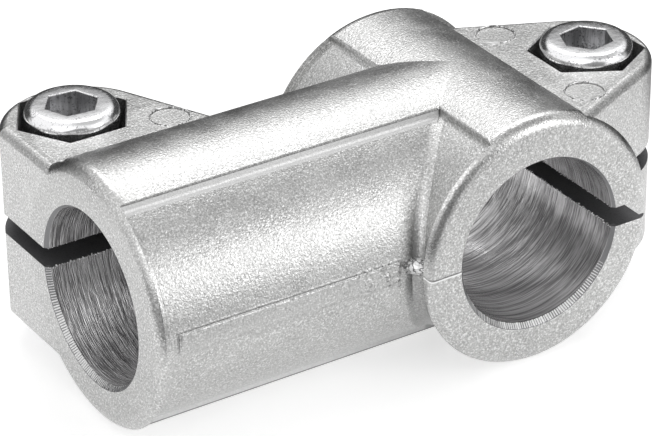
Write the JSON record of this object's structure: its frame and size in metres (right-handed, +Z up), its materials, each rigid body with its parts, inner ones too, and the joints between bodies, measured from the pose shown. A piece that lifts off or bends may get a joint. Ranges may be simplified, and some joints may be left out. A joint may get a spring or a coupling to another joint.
{
  "type": "tube connector",
  "caption": "Cast tube connector with a through sleeve and a branch sleeve at right angles, each split and closed on its round tube by a socket head screw and a nut.",
  "frame": {"origin": "where the axes of the two tube bores cross", "axes": "+X along the branch bore, out of its mouth; +Y along the through bore; +Z up, the side of the screw heads"},
  "size_m": [0.1079, 0.0629, 0.0452],
  "materials": {
    "casting": "blasted",
    "screw": "bright zinc plated",
    "nut": "zinc plated"
  },
  "bodies": {
    "casting": {"clamp_body": "casting", "branch_nut": "nut", "through_nut": "nut"},
    "branch_screw": {"branch_screw": "screw"},
    "through_screw": {"through_screw": "screw"}
  },
  "joints": [
    {"name": "branch_screw_turn", "type": "hinge", "parent": "casting", "child": "branch_screw", "pos_m": [0.0575, -0.0272, 0], "axis": [0, 0, 1], "continuous": true},
    {"name": "through_screw_turn", "type": "hinge", "parent": "casting", "child": "through_screw", "pos_m": [-0.0272, 0, 0], "axis": [0, 0, 1], "continuous": true}
  ]
}
